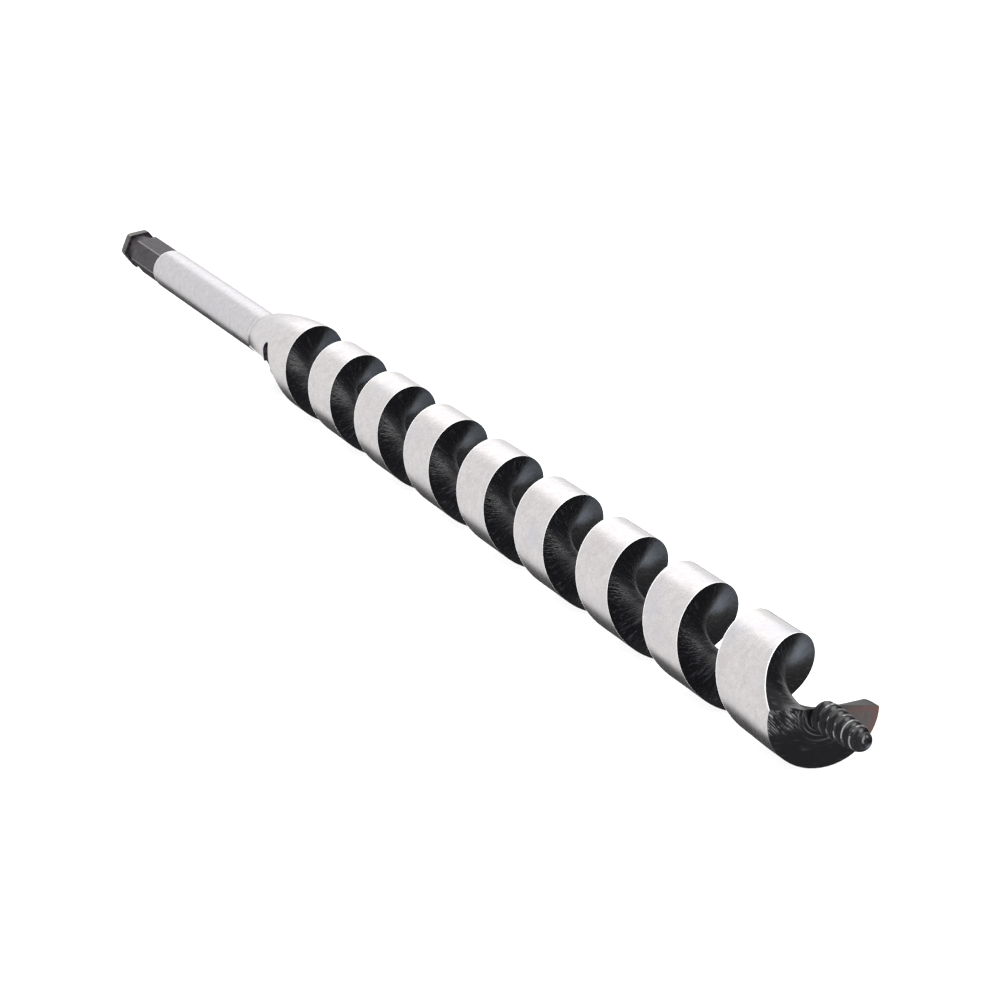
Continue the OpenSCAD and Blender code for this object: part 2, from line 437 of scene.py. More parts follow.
def place_on_bit(graph):
    """The point in millimetres, its distance along the axis, its radius and its angle."""
    point = graph.add("ShaderNodeTexCoord", {}, {}, "Object") * (1 / MM)
    x, y, z = graph.parts(point)
    radius = graph.math("SQRT", y * y + z * z)
    return point, x, radius, graph.math("ARCTAN2", z, y)


def bump(graph, height, strength, distance):
    sockets = {"Height": height, "Strength": strength, "Distance": distance}
    return graph.add("ShaderNodeBump", {}, sockets)


def attribute(graph, name):
    return graph.add("ShaderNodeAttribute", {"attribute_name": name}, {}, "Fac")


def edge_distance(graph):
    """Distance from the land's edge in millimetres, up to the reach of the attribute."""
    return (1.0 - attribute(graph, "edge")) * (EDGE_REACH / MM)


def times(shade, factor):
    return [factor * part for part in shade]


def bright_steel(finish):
    """Ground steel: speckle, lines round the bit, faint clouds and a painted highlight line on the
    edges.
    """
    material, graph = new_material("bright_steel")
    point, x, radius, turn = place_on_bit(graph)
    lines = graph.noise(graph.vector(x * 5.0, turn * 1.8, radius * 0.3), detail=3.0, roughness=0.65)
    grain = graph.noise(point, scale=2.2, detail=3.0, roughness=0.7)
    mottle = graph.noise(point, scale=0.55, roughness=0.6)
    clouds = graph.noise(graph.vector(x * 0.10, turn * 1.1, radius * 0.1))
    stains = graph.noise(point, scale=0.16, detail=3.0, roughness=0.6)
    on_stem = 1.0 - graph.smooth(x, *STEM_SHADE_END)
    # Painted highlight: a white, non-metal line along the ground edges, in place of their glint
    line = 1.0 - graph.smooth(edge_distance(graph), *EDGE_HIGHLIGHT)

    tone = 0.62 + (grain - 0.5) * 1.5 + (lines - 0.5) * 0.6 + (mottle - 0.5) * 1.1
    shade = graph.tint(graph.clamp(tone), times(finish.bright, 0.74), finish.bright)
    shade = graph.tint(on_stem, shade, finish.stem_shade, "MULTIPLY")
    shade = graph.tint(graph.smooth(stains, 0.54, 0.76) * 0.5, shade, finish.stain)
    shade = graph.tint(graph.smooth(clouds, 0.52, 0.75) * 0.5, shade, finish.cloud)
    shade = graph.tint(line, shade, finish.edge_line)
    roughness = 0.20 + graph.spread(clouds, NOISE_RANGE, -0.03, 0.05)
    roughness = roughness + graph.spread(grain, NOISE_RANGE, -0.03, 0.05)
    height = lines * 0.5 + grain * 0.5
    surface(
        graph,
        {
            "Base Color": shade,
            "Metallic": 1.0 - line,
            "Roughness": roughness,
            "Normal": bump(graph, height, strength=0.18, distance=0.06 * MM),
        },
    )
    return material


def black_flute(finish):
    """Polished black skin of the flutes, with cutter streaks from the core out to the edges."""
    material, graph = new_material("black_flute")
    point, x, radius, turn = place_on_bit(graph)
    y = graph.parts(point)[1]
    fan = graph.noise(graph.vector(turn * 13.0, radius * 0.22, x * 0.15), detail=3.0, roughness=0.7)
    hairs = graph.noise(graph.vector(turn * 34.0, radius * 0.5, x * 0.4), roughness=0.6)
    fine = graph.noise(point, scale=1.6, detail=3.0, roughness=0.6)
    inner = graph.smooth(edge_distance(graph), *FLUTE_INSIDE)
    rake = graph.smooth(x, *RAKE_ALONG) * graph.smooth(y, *RAKE_ASIDE)

    height = fan * 0.6 + hairs * 0.4
    streaks = graph.smooth(height, 0.52, 0.66) * inner
    roughness = 0.18 - inner * 0.05 + rake * 0.35
    roughness = roughness + graph.spread(fine, NOISE_RANGE, -0.03, 0.05) + streaks * 0.06
    surface(
        graph,
        {
            "Base Color": graph.tint(streaks, finish.black, times(finish.black, 4.5)),
            "Roughness": roughness,
            "Normal": bump(graph, height, strength=0.8, distance=0.2 * MM),
        },
    )
    return material


def scratches(graph, across, along, spacing):
    """Straight scratches with this spacing in millimetres."""
    stretched = graph.vector(across * (1.0 / spacing), along * 0.25, 0.0)
    return graph.noise(stretched, detail=3.0, roughness=0.7)


def across_and_along(y, z, across):
    """Distances across and along scratches that run square to a direction in Y and Z."""
    return y * across[0] + z * across[1], y * across[1] - z * across[0]


def relief_face(finish, lip_turn):
    """Front relief face: black with grinding marks, and bare heat-tinted steel on the lip."""
    material, graph = new_material("relief_face")
    point, _, radius, turn = place_on_bit(graph)
    y, z = graph.parts(point)[1:]
    slanted = scratches(graph, *across_and_along(y, z, SLANTED_ACROSS), spacing=0.22)
    level = scratches(graph, *across_and_along(y, z, LEVEL_ACROSS), spacing=0.7)
    upright = scratches(graph, y, z, spacing=0.8)
    rings = graph.noise(graph.vector(radius * 2.2, turn * 0.4, 0.0), roughness=0.6)
    at_kink = graph.smooth(-y, *KINK_ASIDE) * graph.smooth(z, *KINK_UP)
    off_kink = 1.0 - at_kink
    at_screw = 1.0 - graph.smooth(radius, *BOSS_MARKS_END)
    off_lip = graph.math("ABSOLUTE", turn - lip_turn)
    on_lip = 1.0 - graph.smooth(off_lip, *LIP_SPREAD)

    marks = graph.smooth(slanted, 0.52, 0.62) * at_kink
    marks = marks + graph.smooth(level, 0.58, 0.74) * off_kink * 0.15
    marks = graph.clamp(marks + graph.smooth(rings, 0.52, 0.68) * at_screw * 0.35)
    dark = graph.tint(marks, finish.black, finish.mark)
    heated = graph.smooth(radius, *LIP_RIM) * 0.8 + (1.0 - graph.smooth(off_lip, *LIP_HEAT)) * 0.6
    bare = graph.spread(upright, NOISE_RANGE, 0.0, 1.0)
    bare = graph.tint(bare, times(finish.lip, 0.72), finish.lip)
    bare = graph.tint(graph.clamp(heated), bare, finish.heat)
    height = slanted * at_kink + level * off_kink * 0.5 + upright * on_lip * 0.3
    surface(
        graph,
        {
            "Base Color": graph.tint(on_lip, dark, bare),
            "Metallic": on_lip * 0.15,
            "Roughness": 0.34 + marks * 0.15 + on_lip * 0.1,
            "Specular IOR Level": 0.35,
            "Normal": bump(graph, height, strength=0.45, distance=0.12 * MM),
        },
    )
    return material


def black_screw(finish):
    """Glossy black skin of the feed screw and its boss, with turning marks and worn crests."""
    material, graph = new_material("black_screw")
    point, x, radius, turn = place_on_bit(graph)
    rings = graph.noise(graph.vector(x * 5.0, radius * 5.0, turn * 0.3), roughness=0.6)
    fine = graph.noise(point, scale=2.5, detail=3.0, roughness=0.6)
    patches = graph.noise(point, scale=0.55, detail=1.0)

    worn = graph.smooth(attribute(graph, "crest"), 0.92, 0.99)
    worn = worn * graph.smooth(patches, 0.48, 0.58) * 0.8
    shade = graph.tint(graph.smooth(rings, 0.5, 0.72), finish.black, finish.turning)
    height = rings * 0.6 + fine * 0.4
    surface(
        graph,
        {
            "Base Color": graph.tint(worn, shade, finish.worn),
            "Metallic": worn,
            "Roughness": graph.spread(fine, NOISE_RANGE, 0.14, 0.26),
            "Specular IOR Level": 0.7,
            "Normal": bump(graph, height, strength=0.3, distance=0.1 * MM),
        },
    )
    return material


def black_hexagon(finish):
    """Satin black skin of the neck's slot and of the hexagon, whose edges and collar are rubbed."""
    material, graph = new_material("black_hexagon")
    point, x, radius, turn = place_on_bit(graph)
    grain = graph.noise(point, scale=0.8, detail=4.0, roughness=0.75)
    draw = graph.vector(x * 0.25, turn * 14.0, radius * 3.0)
    draw = graph.noise(draw, detail=3.0, roughness=0.6)
    patches = graph.noise(point, scale=0.5)
    rubbed = graph.smooth(radius + (grain - 0.5) * 0.3, *HEX_CORNER)
    rubbed = rubbed * (1.0 - graph.smooth(x, *HEX_END))
    collar = (1.0 - graph.smooth(x, *COLLAR_END)) * graph.smooth(grain, 0.30, 0.58)

    tone = 0.5 + (grain - 0.5) * 3.4 + (draw - 0.5) * 0.5 + (patches - 0.5) * 0.7
    dark, light = times(finish.charcoal, 0.2), times(finish.charcoal, 2.4)
    shade = graph.tint(graph.clamp(tone), dark, light)
    shade = graph.tint(collar * 0.6, shade, finish.collar)
    shade = graph.tint(rubbed * 0.6, shade, finish.rubbed)
    height = draw * 0.4 + grain * 0.6
    surface(
        graph,
        {
            "Base Color": shade,
            "Metallic": 0.25,
            "Roughness": graph.spread(grain, NOISE_RANGE, 0.36, 0.52),
            "Specular IOR Level": 0.3,
            "Normal": bump(graph, height, strength=0.6, distance=0.3 * MM),
        },
    )
    return material


# Meshes


def ring_mesh(name, rings):
    """A closed skin over rings of points, each end closed by a fan to its middle."""
    mesh = bpy.data.meshes.new(name)
    made = bmesh.new()
    skin = [[made.verts.new(p) for p in ring] for ring in rings]
    count = len(skin[0])
    for low, high in zip(skin, skin[1:]):
        for i in range(count):
            j = (i + 1) % count
            made.faces.new((low[i], low[j], high[j], high[i]))
    for ring, turned in ((skin[0], True), (skin[-1], False)):
        middle = made.verts.new(sum((v.co for v in ring), Vector()) / count)
        for i in range(count):
            a, b = ring[i], ring[(i + 1) % count]
            made.faces.new((b, a, middle) if turned else (a, b, middle))
    bmesh.ops.recalc_face_normals(made, faces=made.faces)
    made.to_mesh(mesh)
    made.free()
    return mesh


def new_object(name, data):
    """An object in the scene with this mesh, light or camera."""
    made = bpy.data.objects.new(name, data)
    bpy.context.scene.collection.objects.link(made)
    return made


def finish_piece(piece, materials, node, sharp):
    """Smooth shading with sharp edges, materials, and the piece's place in the frame."""
    mesh = piece.data
    mesh.polygons.foreach_set("use_smooth", [True] * len(mesh.polygons))
    mesh.set_sharp_from_angle(angle=math.radians(sharp))
    for material in materials:
        if material.name not in mesh.materials:
            mesh.materials.append(material)
    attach(piece, "root")
    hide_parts(node)


def soft_min(values, softness):
    """Smallest of the values, rounded off where two of them meet."""
    low = min(values)
    return low - softness * math.log(sum(math.exp((low - v) / softness) for v in values))


def circle(x, radius, count):
    """A ring round the axis. Radius is a number, or a function of the angle."""
    ring = []
    for i in range(count):
        a = TURN * i / count
        r = radius(a) if callable(radius) else radius
        ring.append((x, r * math.cos(a), r * math.sin(a)))
    return ring


# Geometry node tree of the twist


TWIST_INPUTS = (
    ("Land Diameter", "flute_diameter"),
    ("Pitch", "pitch"),
    ("Land Arc", "land_arc"),
    ("Core Offset", "core_back"),
    ("Front Bulge", "front_bulge"),
    ("Back Hollow", "back_hollow"),
    ("Step", "step_length"),
    ("Start Lead", "start_lead"),
    ("Start Pitch", "start_pitch"),
    ("Start Length", "start_length"),
    ("Catch-up", "catch_length"),
    ("Slot Width", "slot_width"),
    ("Slot Place", "slot_at"),
    ("Slot Turn", "slot_turn"),
    ("Slot Depth", "slot_depth"),
    ("Slot Slant", "slot_slant"),
    ("Slot Length", "slot_length"),
    ("Cutting Diameter", "head_diameter"),
    ("Head Length", "head_length"),
    ("Head Spread", "head_spread"),
    ("Lip Turn", "lip_turn"),
    ("Lip Lead", "lip_back"),
    ("Rake Bend", "rake_bend"),
    ("Throat Rise", "throat_rise"),
    ("Throat Start", "throat_back"),
    ("Throat Length", "throat_length"),
)
FRAME_INPUTS = (
    "Stem Diameter",
    "Dome Length",
    "Flat Height",
    "Flat Run",
    "Stem End",
    "Flute Start",
    "Front Face",
    "End",
)


def bezier(a, b, c, d, t):
    """Point of a cubic curve between a and d."""
    s = 1.0 - t
    return a * (s * s * s) + b * (3.0 * s * s * t) + c * (3.0 * s * t * t) + d * (t * t * t)


def mixed(a, b, t):
    """Number or vector between a, at 0, and b, at 1."""
    return a + (b - a) * t


def twist_tree(land, flute, slot):
    """Geometry nodes that bend a tube into the twist, and cut the slot into its neck.

    Each cross-section has the arc of a land and a flute.
    """
    tree = bpy.data.node_groups.new("auger_twist", "GeometryNodeTree")
    graph = Graph(tree)
    for name in (*(name for name, _ in TWIST_INPUTS), *FRAME_INPUTS):
        tree.interface.new_socket(name=name, in_out="INPUT", socket_type="NodeSocketFloat")
    tree.interface.new_socket(name="Slices", in_out="INPUT", socket_type="NodeSocketInt")
    tree.interface.new_socket(name="Geometry", in_out="OUTPUT", socket_type="NodeSocketGeometry")
    given = graph.add("NodeGroupInput").socket.node
    size = {s.name: Port(graph, s) for s in given.outputs if s.name}

    tube = graph.add(
        "GeometryNodeMeshCylinder",
        {"fill_type": "NGON"},
        {"Vertices": RING_STEPS, "Side Segments": size["Slices"], "Radius": 1.0, "Depth": 1.0},
        "Mesh",
    )
    height = graph.parts(graph.add("GeometryNodeInputPosition"))[2]
    x = mixed(size["Stem End"], size["End"], height + 0.5)
    step = graph.math("MODULO", graph.add("GeometryNodeInputIndex"), float(RING_STEPS))
    on_land = graph.clamp(step / LAND_STEPS)
    on_back = graph.clamp((step - LAND_STEPS) / FLANK_STEPS)
    on_front = graph.clamp((step - (LAND_STEPS + FLANK_STEPS)) / FLANK_STEPS)

    # Radius of the ground surface: the dome, the lands and the wider head
    land_r = size["Land Diameter"] * 0.5
    stem_r = size["Stem Diameter"] * 0.5
    dome = graph.clamp(1.0 - (x - size["Stem End"]) / size["Dome Length"])
    head = (x - size["Front Face"] + size["Head Length"]) / size["Head Length"]
    leaving = graph.smooth((x - size["Stem End"]) / NECK_FILLET)
    r = stem_r + (land_r - stem_r) * (1.0 - dome * dome) * leaving
    r = r + (size["Cutting Diameter"] * 0.5 - land_r) * graph.smooth(head, 0.0, HEAD_WIDE)

    # Angles of the flute's two edges. The back edge starts slowly at the neck and catches up with
    # the helix, and at the head it bends into the rake face
    helix = (x - size["Front Face"] + size["Lip Lead"]) * TURN / size["Pitch"]
    past = x - size["Flute Start"]
    first = helix - past * TURN / size["Pitch"]
    slow = first + size["Start Lead"] + past * TURN / size["Start Pitch"]
    caught = graph.smooth((past - size["Start Length"]) / size["Catch-up"])
    soft = size["Rake Bend"]
    tail = graph.math("EXPONENT", -graph.math("ABSOLUTE", helix) / soft)
    rake = graph.math("MINIMUM", helix, 0.0) - soft * graph.math("LOGARITHM", 1.0 + tail, math.e)
    widen = graph.math("MAXIMUM", head, 0.0)
    flute_back = rake + (slow - helix) * (1.0 - caught)
    flute_front = helix - size["Land Arc"] - size["Head Spread"] * widen * widen

    # On the neck the flute is a flat, which steps down into the flute
    flat_turn = first + (size["Start Lead"] - size["Land Arc"] + TURN) * 0.5
    flat_share = graph.smooth((x - size["Stem End"]) / size["Flat Run"])
    flat_height = mixed(stem_r, size["Flat Height"], flat_share)
    half = graph.math("ARCCOSINE", graph.math("MINIMUM", flat_height / r, 1.0))
    half = graph.math("MAXIMUM", half, LEAST_HALF)
    share = graph.clamp(past / size["Step"])
    back = mixed(flat_turn - half, flute_back, share) + size["Lip Turn"]
    front = mixed(flat_turn + half - TURN, flute_front, share) + size["Lip Turn"]

    # Flute: a curve from the back edge to the bottom, and one from there to the front edge
    curved = share * (1.0 - graph.smooth(head, 0.0, HEAD_STRAIGHT))
    inward = graph.around((back + front + TURN) * 0.5)
    b = graph.around(back) * r
    f = graph.around(front) * r
    rise = graph.smooth((x - size["Front Face"] + size["Throat Start"]) / size["Throat Length"])
    bottom = size["Throat Rise"] * rise - size["Core Offset"]
    q = inward * mixed(r * graph.math("COSINE", half), bottom, share)
    hollow = inward * (curved * size["Back Hollow"])
    bulge = inward * (curved * size["Front Bulge"])
    back_flank = bezier(
        b, mixed(b, q, 1 / 3) - hollow, mixed(b, q, 2 / 3) - hollow, q, on_back
    )
    front_flank = bezier(
        q, mixed(q, f, 1 / 3) + bulge, mixed(q, f, 2 / 3) + bulge, f, on_front
    )
    arc = graph.around(mixed(front, back, on_land)) * r
    across = arc + back_flank + front_flank - q - b
    point = across + graph.vector(x, 0.0, 0.0)

    # -1 inside a land, 1 inside the flute and 0 on the edges between them
    on_edge = graph.math("COMPARE", step, 0.0, 0.1)
    on_edge = on_edge + graph.math("COMPARE", step, float(LAND_STEPS), 0.1)
    in_flute = graph.math("GREATER_THAN", step, float(LAND_STEPS))
    side = (in_flute * 2.0 - 1.0) * (1.0 - on_edge)
    # 1 on the land's edges, down to 0 at a distance of EDGE_REACH; it places the painted highlight
    # line and the flute's inside
    to_back = graph.vector_math("DISTANCE", across, b, output="Value")
    to_front = graph.vector_math("DISTANCE", across, f, output="Value")
    near = graph.clamp(1.0 - graph.math("MINIMUM", to_back, to_front) / EDGE_REACH)
    marked = tube
    for name, value in (("side", side), ("edge", near)):
        marked = graph.add(
            "GeometryNodeStoreNamedAttribute",
            {"data_type": "FLOAT", "domain": "POINT"},
            {"Geometry": marked, "Name": name, "Value": value},
        )
    bent = graph.add("GeometryNodeSetPosition", {}, {"Geometry": marked, "Position": point})
    real = graph.add("GeometryNodeRealizeInstances", {}, {"Geometry": bent})
    stored = graph.add(
        "GeometryNodeInputNamedAttribute", {"data_type": "FLOAT"}, {"Name": "side"}, "Attribute"
    )
    faced = graph.add("GeometryNodeSetMaterial", {}, {"Geometry": real, "Material": flute})
    faced = graph.add(
        "GeometryNodeSetMaterial",
        {},
        {"Geometry": faced, "Selection": graph.math("LESS_THAN", stored, 0.0), "Material": land},
    )

    # Slot from the flute's start into the neck, cut by a cylinder and a box that stand on its floor
    slot_x = size["Stem End"] + size["Slot Place"]
    slot_dome = 1.0 - size["Slot Place"] / size["Dome Length"]
    slot_floor = land_r - (land_r - stem_r) * slot_dome * slot_dome - size["Slot Depth"]
    tall = size["Slot Depth"] * 2.0
    end = graph.add(
        "GeometryNodeMeshCylinder",
        {},
        {"Vertices": SLOT_STEPS, "Radius": size["Slot Width"] * 0.5, "Depth": tall},
        "Mesh",
    )
    box = graph.vector(size["Slot Length"], size["Slot Width"], tall)
    run = graph.add("GeometryNodeMeshCube", {}, {"Size": box}, "Mesh")
    moved = graph.vector(size["Slot Length"] * 0.5, 0.0, 0.0)
    run = graph.add("GeometryNodeTransform", {}, {"Geometry": run, "Translation": moved})
    slant = graph.vector(0.0, 0.0, -size["Slot Slant"])
    run = graph.add("GeometryNodeTransform", {}, {"Geometry": run, "Rotation": slant})
    first_back = size["Flute Start"] - size["Front Face"] + size["Lip Lead"]
    first_back = first_back * TURN / size["Pitch"]
    slot_angle = first_back + size["Start Lead"] + size["Lip Turn"] - size["Slot Turn"]
    slot_turn = graph.vector(slot_angle, 0.0, 0.0)
    for part in (end, run):
        raised = graph.add(
            "GeometryNodeTransform",
            {},
            {
                "Geometry": part,
                "Translation": graph.vector(slot_x, slot_floor + size["Slot Depth"], 0.0),
                "Rotation": (-TURN / 4, 0.0, 0.0),
            },
        )
        cutter = graph.add(
            "GeometryNodeTransform", {}, {"Geometry": raised, "Rotation": slot_turn}
        )
        cutter = graph.add("GeometryNodeSetMaterial", {}, {"Geometry": cutter, "Material": slot})
        faced = graph.add(
            "GeometryNodeMeshBoolean",
            {"operation": "DIFFERENCE", "solver": "EXACT"},
            {"Mesh 1": faced, "Mesh 2": cutter},
        )
    graph.add("NodeGroupOutput", {}, {"Geometry": faced})
    return tree


# Operators


class AUGER_OT_hexagon(bpy.types.Operator):
    """Drive hexagon with its collar and detent groove"""

    bl_idname = "auger.hexagon"
    bl_label = "Drive Hexagon"

    def execute(self, context):
        size, finish = context.scene.auger_shank, context.scene.auger_finish
        groove = (size.collar, size.collar + size.groove_width)
        flat = size.hex_width / 2
        corner = flat / math.cos(TURN / 12)
        soft = size.edge_round

        def turned(x):
            """Radius that the lathe left at this place."""
            if groove[0] <= x <= groove[1]:
                return size.groove_diameter / 2
            return corner - max(size.hex_chamfer - x, 0.0)

        def outline(x):
            def radius(a):
                across = (a - size.hex_turn) % (TURN / 6) - TURN / 12
                return soft_min((flat / math.cos(across), turned(x)), soft / 3)

            return radius

        steps = [i * size.hex_chamfer / 3 for i in range(4)]
        steps += [groove[0] - beside for beside in reversed(GROOVE_BESIDE)]
        steps += [groove[0], groove[0] + GROOVE_INSIDE, groove[1] - GROOVE_INSIDE, groove[1]]
        steps += [groove[1] + beside for beside in GROOVE_BESIDE]
        steps += [STEM_START - HEX_BEFORE_END, STEM_START]
        mesh = ring_mesh("hexagon", [circle(x, outline(x), HEX_STEPS) for x in steps])
        piece = new_object("drive_hexagon", mesh)
        skin = shared(black_hexagon, finish)
        finish_piece(piece, [skin], "hex_shank", sharp=24)
        return {"FINISHED"}


class AUGER_OT_stem(bpy.types.Operator):
    """Plain round ground stem, with a chamfer beside the hexagon"""

    bl_idname = "auger.stem"
    bl_label = "Stem"

    def execute(self, context):
        size, finish = context.scene.auger_shank, context.scene.auger_finish
        stem_r = size.stem_diameter / 2
        profile = [(STEM_START, stem_r - size.stem_chamfer)]
        profile += [(STEM_START + size.stem_chamfer, stem_r), (STEM_START + EDGE_REACH, stem_r)]
        for i in range(STEM_RINGS):
            profile.append((STEM_START + size.stem_length * (i + 1) / STEM_RINGS, stem_r))
        mesh = ring_mesh("stem", [circle(x, r, STEM_STEPS) for x, r in profile])
        # 1 at the chamfer, down to 0 at EDGE_REACH: places the painted highlight line in place of
        # the chamfer's glint
        near = mesh.attributes.new("edge", "FLOAT", "POINT")
        for vertex, mark in zip(mesh.vertices, near.data):
            mark.value = max(1.0 - abs(vertex.co.x - STEM_START) / EDGE_REACH, 0.0)
        piece = new_object("ground_stem", mesh)
        skin = shared(bright_steel, finish)
        finish_piece(piece, [skin], "stem", sharp=20)
        return {"FINISHED"}


class AUGER_OT_twist(bpy.types.Operator):
    """Twist with its domed neck, slot, lands, flute and cutting head"""

    bl_idname = "auger.twist"
    bl_label = "Twist"

    def execute(self, context):
        scene = context.scene
        shank, size, finish = scene.auger_shank, scene.auger_twist, scene.auger_finish
        face = SCREW_START - scene.auger_screw.boss_out
        end = face + size.head_diameter / 2 * math.tan(size.relief) + CUT_SPARE
        land = shared(bright_steel, finish)
        flute = shared(black_flute, finish)
        front = shared(relief_face, finish, size.lip_turn)
        tree = twist_tree(land, flute, shared(black_hexagon, finish))
        carrier = new_object("twist_carrier", bpy.data.meshes.new("twist_carrier"))
        modifier = carrier.modifiers.new("Twist", "NODES")
        modifier.node_group = tree
        values = {name: getattr(size, key) for name, key in TWIST_INPUTS}
        values["Stem Diameter"] = shank.stem_diameter
        values["Dome Length"] = shank.dome_length
        values["Flat Height"] = shank.neck_flat
        values["Flat Run"] = shank.flat_run
        values["Stem End"] = STEM_END
        values["Flute Start"] = STEM_END + shank.flat_length
        values["Front Face"] = face
        values["End"] = end
        values["Slices"] = round((end - STEM_END) / size.pitch * size.slices)
        for item in tree.interface.items_tree:
            if item.in_out == "INPUT":
                modifier[item.identifier] = values[item.name]
        evaluated = carrier.evaluated_get(context.evaluated_depsgraph_get())
        mesh = bpy.data.meshes.new_from_object(evaluated)
        mesh.name = "twist"
        carrier.modifiers.remove(modifier)
        bpy.data.objects.remove(carrier)
        if front.name not in mesh.materials:
            mesh.materials.append(front)
        self.cut_front(mesh, face, size, mesh.materials.find(front.name))
        piece = new_object("auger_twist", mesh)
        finish_piece(piece, [], "twist", sharp=30)
        return {"FINISHED"}

    @staticmethod
    def cut_front(mesh, face, size, front_index):
        """Cuts the head off along the tilted relief plane and closes it with the front face."""
        made = bmesh.new()
        made.from_mesh(mesh)
        lean = math.sin(size.relief)
        high = size.lip_turn + size.relief_turn
        normal = Vector((math.cos(size.relief), -lean * math.cos(high), -lean * math.sin(high)))
        cut = bmesh.ops.bisect_plane(
            made,
            geom=made.verts[:] + made.edges[:] + made.faces[:],
            plane_co=(face, 0, 0),
            plane_no=normal,
            clear_outer=True,
            dist=1e-7,
        )
        edges = [e for e in cut["geom_cut"] if isinstance(e, bmesh.types.BMEdge)]
        rim = [e for e in edges if e.is_boundary]
        closed = bmesh.ops.edgenet_fill(made, edges=rim)
        for cap in closed["faces"]:
            cap.material_index = front_index
            cap.normal_update()
            if cap.normal.dot(normal) < 0:
                cap.normal_flip()
        bmesh.ops.triangulate(made, faces=closed["faces"])
        made.to_mesh(mesh)
        made.free()


class AUGER_OT_screw(bpy.types.Operator):
    """Tapered feed screw with its thread, and the boss that it grows from"""

    bl_idname = "auger.screw"
    bl_label = "Feed Screw"

    def execute(self, context):
        size, finish = context.scene.auger_screw, context.scene.auger_finish
        start = SCREW_START - size.boss_length
        span = SCREW_END - SCREW_START
        rings = []
        for i in range(BOSS_RINGS):
            t = i / BOSS_RINGS
            radius = max(size.boss_diameter / 2 * t, BOSS_LEAST)
            rings.append(circle(start + size.boss_length * t, radius, SCREW_STEPS))
        for i in range(SCREW_RINGS + 1):
            along = i / SCREW_RINGS
            x = SCREW_START + span * i / SCREW_RINGS
            rings.append(circle(x, self.thread(size, along, span), SCREW_STEPS))
        mesh = ring_mesh("feed_screw", rings)
        crest = mesh.attributes.new("crest", "FLOAT", "POINT")
        for vertex, mark in zip(mesh.vertices, crest.data):
            along = min((vertex.co.x - SCREW_START) / span, 1.0)
            if along > 0:
                outer, depth = self.outline(size, along)
                sunk = max((outer - vertex.co.yz.length) / depth, 0.0)
                mark.value = 1.0 - sunk ** (1 / THREAD_HOLLOW)
        piece = new_object("feed_screw_thread", mesh)
        skin = shared(black_screw, finish)
        finish_piece(piece, [skin], "feed_screw", sharp=50)
        return {"FINISHED"}

    @staticmethod
    def outline(size, along):
        """Outer radius and thread depth at a share of the length."""
        outer = size.diameter / 2 + (size.tip_diameter - size.diameter) / 2 * along
        tip = max((along - TIP_START) / (1 - TIP_START), 0.0)
        outer *= TIP_SHARE + (1 - TIP_SHARE) * math.sqrt(max(1 - tip * tip, 0.0))
        return outer, size.depth * outer / (size.diameter / 2)

    def thread(self, size, along, span):
        """Radius of the threaded cone at a share of its length, as a function of the angle."""
        outer, depth = self.outline(size, along)

        def radius(a):
            phase = (a / TURN - along * span / size.pitch) % 1.0
            return outer - depth * (0.5 + 0.5 * math.cos(TURN * phase)) ** THREAD_HOLLOW

        return radius


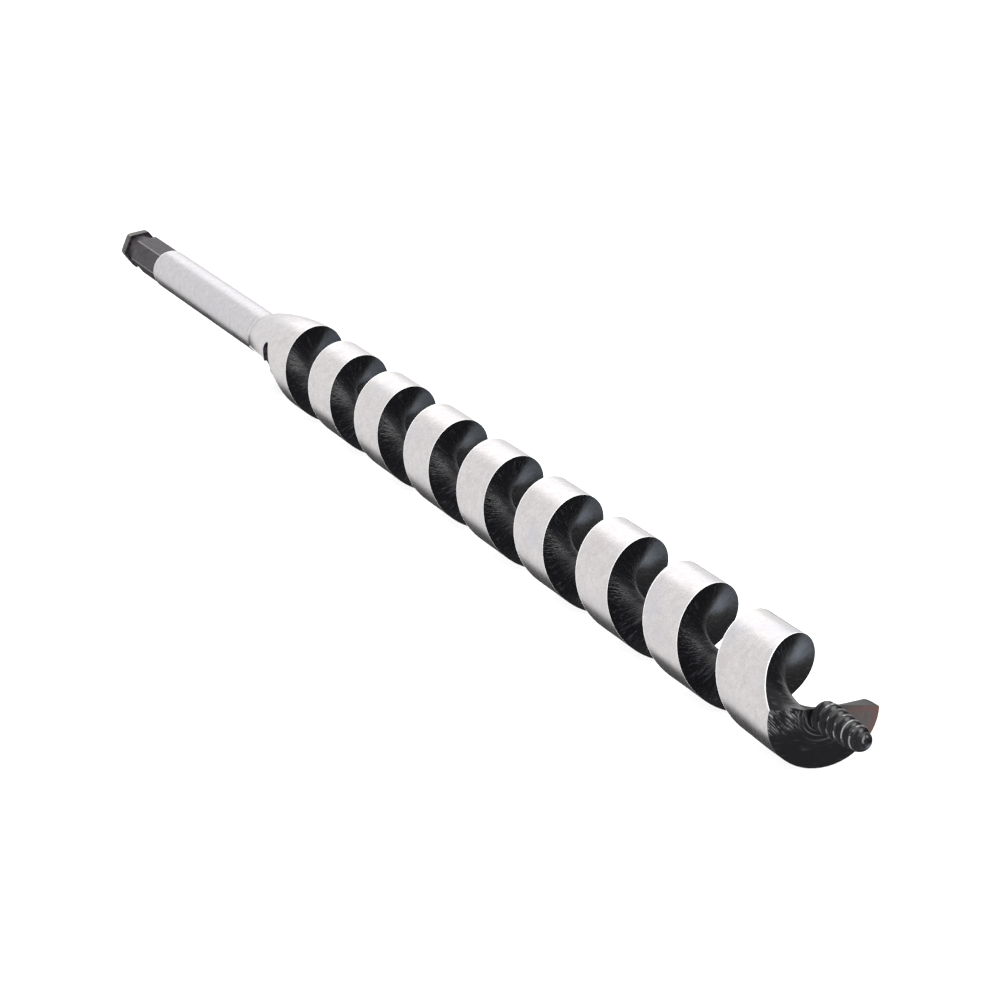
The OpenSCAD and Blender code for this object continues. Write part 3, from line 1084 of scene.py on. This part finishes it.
class AUGER_OT_stage(bpy.types.Operator):
    """Pale floor, soft studio light and the camera"""

    bl_idname = "auger.stage"
    bl_label = "Stage"

    def execute(self, context):
        scene = context.scene
        stage = scene.auger_stage
        material, graph = new_material("pale_floor")
        cloud = graph.noise(graph.add("ShaderNodeTexCoord", {}, {}, "Object"), scale=3.0)
        shade = graph.tint(cloud, stage.floor_dark, stage.floor_light)
        surface(graph, {"Base Color": shade, "Roughness": 0.9, "Specular IOR Level": 0.1})
        mesh = bpy.data.meshes.new("floor")
        reach = stage.floor_reach
        corners = [(-reach, -reach), (reach, -reach), (reach, reach), (-reach, reach)]
        mesh.from_pydata([(x, y, FLOOR_HEIGHT) for x, y in corners], [], [(0, 1, 2, 3)])
        mesh.materials.append(material)
        floor = new_object("floor", mesh)
        floor.visible_glossy = False
        scene.world = self.surroundings(stage)
        self.overhead(stage)

        lens = bpy.data.cameras.new("camera")
        lens.lens = stage.focal_length
        lens.sensor_width = stage.sensor_width
        lens.clip_start, lens.clip_end = CLIP_NEAR, CLIP_FAR
        camera = new_object("camera", lens)
        camera.location = stage.camera_place
        camera.rotation_euler = (stage.camera_tilt, 0.0, stage.camera_turn)
        scene.camera = camera
        scene.view_settings.view_transform = "Standard"
        return {"FINISHED"}

    @staticmethod
    def surroundings(stage):
        """Soft light: bright behind and above, dim in front, dark low down behind and beside."""
        world = bpy.data.worlds.new("studio")
        world.use_nodes = True
        world.node_tree.nodes.clear()
        graph = Graph(world.node_tree)
        smooth = graph.smooth
        direction = graph.add("ShaderNodeTexCoord", {}, {}, "Generated")
        x, y, z = graph.parts(direction)

        def glow(towards, outer, inner):
            """1 within the inner angle of a direction, 0 outside the outer one."""
            towards = Vector(towards).normalized()
            near = graph.vector_math("DOT_PRODUCT", direction, towards, output="Value")
            return smooth(near, math.cos(math.radians(outer)), math.cos(math.radians(inner)))

        def band(value, low, full, fade, high):
            """1 from full to fade, 0 below low and above high."""
            return smooth(value, low, full) * (1.0 - smooth(value, fade, high))

        level = mixed(stage.front, stage.back, smooth(-x, 0.3, 0.65))
        level = level + glow((-0.80, 0.38, 0.46), 25, 9) * stage.window
        table = smooth(-z, 0.12, 0.26) * smooth(y, -0.28, -0.12) * smooth(-x, 0.42, 0.6)
        wall = smooth(y, 0.5, 0.7) * band(z, -0.58, -0.50, 0.15, 0.35)
        wall = wall * (1.0 - smooth(-x, 0.3, 0.6))
        below = smooth(-z, 0.74, 0.86)
        level = level * (1.0 - table * stage.table_dark) * (1.0 - wall * stage.wall_dark)
        level = level * (1.0 - below * stage.below_dark)
        above = smooth(z, 0.76, 0.90) * stage.ceiling
        above = above + glow((0.516, 0.661, 0.545), 19, 9) * stage.side_box
        bounce = band(-z, 0.45, 0.57, 0.70, 0.83) * smooth(y, 0.35, 0.68)
        bounce = bounce * (0.85 - smooth(x, -0.22, -0.02) * 0.6 + smooth(x, 0.08, 0.3) * 1.3)
        bounce = bounce * (1.0 - smooth(-x, 0.33, 0.52))
        hue = graph.tint(graph.clamp(bounce), (1.0, 1.0, 1.0), stage.bounce)
        seen = graph.add("ShaderNodeLightPath", {}, {}, "Is Camera Ray")
        strength = mixed(level + bounce + above, 1.0, seen)
        sky = graph.add("ShaderNodeBackground", {}, {"Color": hue, "Strength": strength})
        graph.add("ShaderNodeOutputWorld", {}, {"Surface": sky})
        return world

    @staticmethod
    def overhead(stage):
        """Wide shadowless light above, for the floor. The steel reflects only the surroundings."""
        light = bpy.data.lights.new("overhead", "AREA")
        light.size = stage.lamp_width
        light.energy = stage.lamp_power
        light.use_shadow = False
        lamp = new_object("overhead", light)
        lamp.location = stage.lamp_place
        lamp.visible_glossy = False


class AUGER_PT_panel(bpy.types.Panel):
    """Sizes, colours and pieces of the bit"""

    bl_label = "Auger Bit"
    bl_idname = "AUGER_PT_panel"
    bl_space_type = "VIEW_3D"
    bl_region_type = "UI"
    bl_category = "Auger Bit"

    def draw(self, context):
        for name, group in GROUPS.items():
            box = self.layout.box()
            for key in group.__annotations__:
                box.prop(getattr(context.scene, name), key)
        for operator in OPERATORS:
            self.layout.operator(operator.bl_idname)


GROUPS = {
    "auger_shank": AugerShank,
    "auger_twist": AugerTwist,
    "auger_screw": AugerScrew,
    "auger_finish": AugerFinish,
    "auger_stage": AugerStage,
}
OPERATORS = (AUGER_OT_hexagon, AUGER_OT_stem, AUGER_OT_twist, AUGER_OT_screw, AUGER_OT_stage)


def register():
    for made in (*GROUPS.values(), *OPERATORS, AUGER_PT_panel):
        bpy.utils.register_class(made)
    for name, group in GROUPS.items():
        setattr(bpy.types.Scene, name, PointerProperty(type=group))


def unregister():
    for name in GROUPS:
        delattr(bpy.types.Scene, name)
    for made in (AUGER_PT_panel, *OPERATORS, *GROUPS.values()):
        bpy.utils.unregister_class(made)


def main():
    register()
    bpy.ops.auger.hexagon()
    bpy.ops.auger.stem()
    bpy.ops.auger.twist()
    bpy.ops.auger.screw()
    bpy.ops.auger.stage()


if __name__ == "__main__":
    main()
